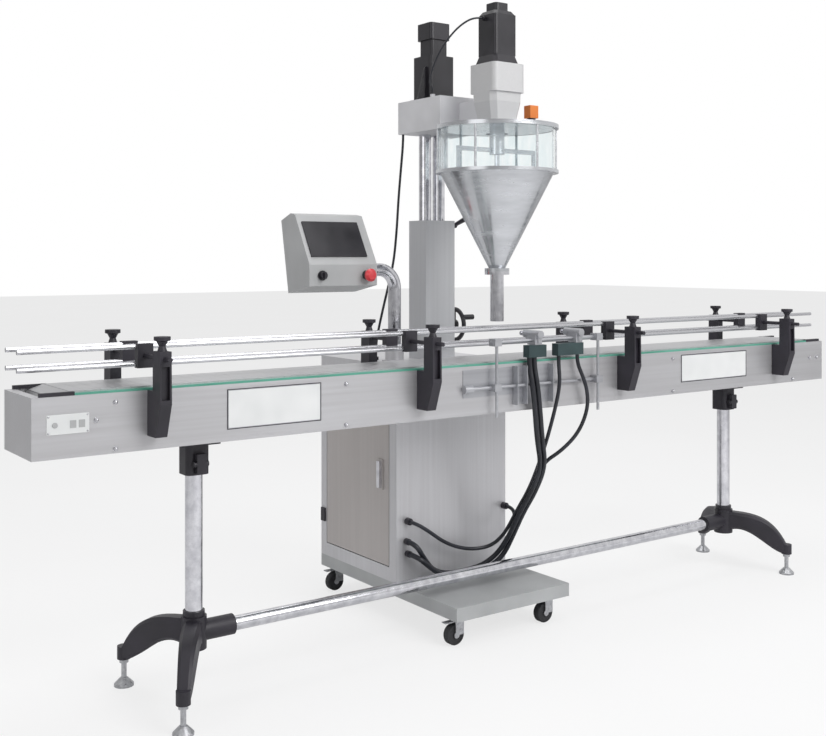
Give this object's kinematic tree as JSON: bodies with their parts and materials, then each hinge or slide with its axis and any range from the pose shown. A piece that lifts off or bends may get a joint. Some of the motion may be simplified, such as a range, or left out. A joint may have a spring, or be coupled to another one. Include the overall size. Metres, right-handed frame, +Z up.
{
  "type": "auger powder filler",
  "caption": "Lift-column auger powder filler on a wheeled cabinet, dosing through its hopper and tube onto a slat-chain conveyor with guide rails.",
  "frame": {"origin": "on the floor under the middle of the machine's bounding box", "axes": "+X along the conveyor, +Y to the back, towards the cabinet, +Z up"},
  "size_m": [3.03, 0.8559, 1.929],
  "materials": {
    "stainless": "satin brushed",
    "chain_steel": "satin",
    "chrome_tube": "polished",
    "zinc_steel": "zinc plated",
    "light_grey_paint": "satin",
    "black_moulding": "matte",
    "black_paint": "satin",
    "green_strip": "satin",
    "clear_acrylic": "clear",
    "black_hose": "satin",
    "wheel_rubber": "matte",
    "stop_red": "gloss",
    "sensor_orange": "matte",
    "casing_aluminium": "blasted",
    "screen_dark": "satin"
  },
  "bodies": {
    "machine": {"conveyor_shell": "stainless", "frame_members": "zinc_steel", "wear_strips": "green_strip", "end_shoes": "black_moulding", "slat_chain": "chain_steel", "drive_gearmotor": "black_paint", "guide_brackets": "black_moulding", "stand_tubes": "chrome_tube", "stand_castings": "black_moulding", "levelling_feet": "zinc_steel", "gate_frame": "stainless", "gate_cylinders": "zinc_steel", "platform": "light_grey_paint", "cabinet_panels": "stainless", "electrical_panel": "zinc_steel", "cabinet_glands": "black_moulding", "column": "stainless", "air_hose_main": "black_hose", "air_hose_second": "black_hose", "air_hose_middle": "black_hose", "air_hose_right": "black_hose", "head_cable": "black_hose"},
    "drive_sprocket": {"drive_sprocket": "zinc_steel"},
    "idler_sprocket": {"idler_sprocket": "zinc_steel"},
    "front_guide": {"front_rails": "stainless", "front_rail_clamps": "black_moulding"},
    "rear_guide": {"rear_rails": "stainless", "rear_rail_clamps": "black_moulding"},
    "gate_piston_left": {"gate_piston_left": "chrome_tube"},
    "gate_piston_right": {"gate_piston_right": "chrome_tube"},
    "door": {"cabinet_door": "stainless"},
    "door_handle": {"door_handle": "chrome_tube"},
    "handwheel": {"handwheel": "black_paint"},
    "clamp_lever": {"clamp_lever": "black_paint"},
    "head": {"guide_posts": "chrome_tube", "head_box": "light_grey_paint", "stirrer_motor": "black_paint", "gear_casing": "casing_aluminium", "servo_motor": "black_paint", "hopper_lid": "stainless", "hopper_barrel": "clear_acrylic", "hopper_cone": "stainless", "dosing_tube": "chrome_tube", "level_sensor": "sensor_orange", "servo_cable": "black_hose"},
    "auger": {"auger": "stainless"},
    "agitator": {"agitator": "stainless"},
    "operator_panel": {"panel_arm": "chrome_tube", "panel_box": "light_grey_paint", "panel_fittings": "screen_dark"},
    "stop_button": {"stop_button": "stop_red"},
    "selector": {"selector": "black_moulding"},
    "caster_1": {"caster_fork_1": "zinc_steel"},
    "wheel_1": {"caster_wheel_1": "wheel_rubber"},
    "caster_2": {"caster_fork_2": "zinc_steel"},
    "wheel_2": {"caster_wheel_2": "wheel_rubber"},
    "caster_3": {"caster_fork_3": "zinc_steel"},
    "wheel_3": {"caster_wheel_3": "wheel_rubber"},
    "caster_4": {"caster_fork_4": "zinc_steel"},
    "wheel_4": {"caster_wheel_4": "wheel_rubber"}
  },
  "joints": [
    {"name": "drive_spin", "type": "hinge", "parent": "machine", "child": "drive_sprocket", "pos_m": [1.4097, -0.212, 0.76285], "axis": [0, 1, 0], "continuous": true},
    {"name": "idler_spin", "type": "hinge", "parent": "machine", "child": "idler_sprocket", "pos_m": [-1.4097, -0.212, 0.76285], "axis": [0, 1, 0], "continuous": true},
    {"name": "front_guide_slide", "type": "slide", "parent": "machine", "child": "front_guide", "axis": [0, 1, 0], "range_m": [-0.005, 0.012]},
    {"name": "rear_guide_slide", "type": "slide", "parent": "machine", "child": "rear_guide", "axis": [0, 1, 0], "range_m": [-0.012, 0.014]},
    {"name": "gate_left_slide", "type": "slide", "parent": "machine", "child": "gate_piston_left", "axis": [0, 1, 0], "range_m": [0, 0.07]},
    {"name": "gate_right_slide", "type": "slide", "parent": "machine", "child": "gate_piston_right", "axis": [0, 1, 0], "range_m": [0, 0.07]},
    {"name": "door_swing", "type": "hinge", "parent": "machine", "child": "door", "pos_m": [-0.278, 0.384, 0.45], "axis": [0, 0, -1], "range_deg": [0, 110]},
    {"name": "door_handle_turn", "type": "hinge", "parent": "door", "child": "door_handle", "pos_m": [-0.29, 0.06, 0.48], "axis": [1, 0, 0], "range_deg": [0, 90]},
    {"name": "head_lift", "type": "slide", "parent": "machine", "child": "head", "axis": [0, 0, 1], "range_m": [-0.08, 0.12], "deforming": ["head_cable"]},
    {"name": "handwheel_turn", "type": "hinge", "parent": "machine", "child": "handwheel", "pos_m": [0.06, 0.1285, 0.911], "axis": [1, 0, 0], "range_deg": [-2900, 4350]},
    {"name": "clamp_lever_turn", "type": "hinge", "parent": "machine", "child": "clamp_lever", "pos_m": [0.05, 0.1085, 1.248], "axis": [1, 0, 0], "range_deg": [-50, 40]},
    {"name": "auger_spin", "type": "hinge", "parent": "head", "child": "auger", "pos_m": [-0.032, -0.212, 1.2], "axis": [0, 0, 1], "continuous": true},
    {"name": "agitator_spin", "type": "hinge", "parent": "head", "child": "agitator", "pos_m": [-0.032, -0.212, 1.3], "axis": [0, 0, 1], "continuous": true},
    {"name": "panel_swivel", "type": "hinge", "parent": "machine", "child": "operator_panel", "pos_m": [-0.206, 0.098, 0.9], "axis": [0, 0, 1], "range_deg": [-75, 45]},
    {"name": "stop_push", "type": "slide", "parent": "operator_panel", "child": "stop_button", "axis": [0, 1, 0], "range_m": [0, 0.004], "stiffness_N_per_m": 800},
    {"name": "selector_turn", "type": "hinge", "parent": "operator_panel", "child": "selector", "pos_m": [-0.528, 0, 1.085], "axis": [0, 1, 0], "range_deg": [-45, 45]},
    {"name": "caster_1_swivel", "type": "hinge", "parent": "machine", "child": "caster_1", "pos_m": [-0.238, -0.286, 0.07], "axis": [0, 0, 1], "continuous": true},
    {"name": "wheel_1_spin", "type": "hinge", "parent": "caster_1", "child": "wheel_1", "pos_m": [-0.26, -0.286, 0.031], "axis": [0, 1, 0], "continuous": true},
    {"name": "caster_2_swivel", "type": "hinge", "parent": "machine", "child": "caster_2", "pos_m": [0.115, -0.286, 0.07], "axis": [0, 0, 1], "continuous": true},
    {"name": "wheel_2_spin", "type": "hinge", "parent": "caster_2", "child": "wheel_2", "pos_m": [0.093, -0.286, 0.031], "axis": [0, 1, 0], "continuous": true},
    {"name": "caster_3_swivel", "type": "hinge", "parent": "machine", "child": "caster_3", "pos_m": [-0.238, 0.382, 0.07], "axis": [0, 0, 1], "continuous": true},
    {"name": "wheel_3_spin", "type": "hinge", "parent": "caster_3", "child": "wheel_3", "pos_m": [-0.26, 0.382, 0.031], "axis": [0, 1, 0], "continuous": true},
    {"name": "caster_4_swivel", "type": "hinge", "parent": "machine", "child": "caster_4", "pos_m": [0.115, 0.382, 0.07], "axis": [0, 0, 1], "continuous": true},
    {"name": "wheel_4_spin", "type": "hinge", "parent": "caster_4", "child": "wheel_4", "pos_m": [0.093, 0.382, 0.031], "axis": [0, 1, 0], "continuous": true}
  ],
  "couplings": [
    {"joint": "idler_spin", "follows": "drive_spin", "ratio": 1},
    {"joint": "handwheel_turn", "follows": "head_lift", "rad_per_m": 628.32}
  ]
}
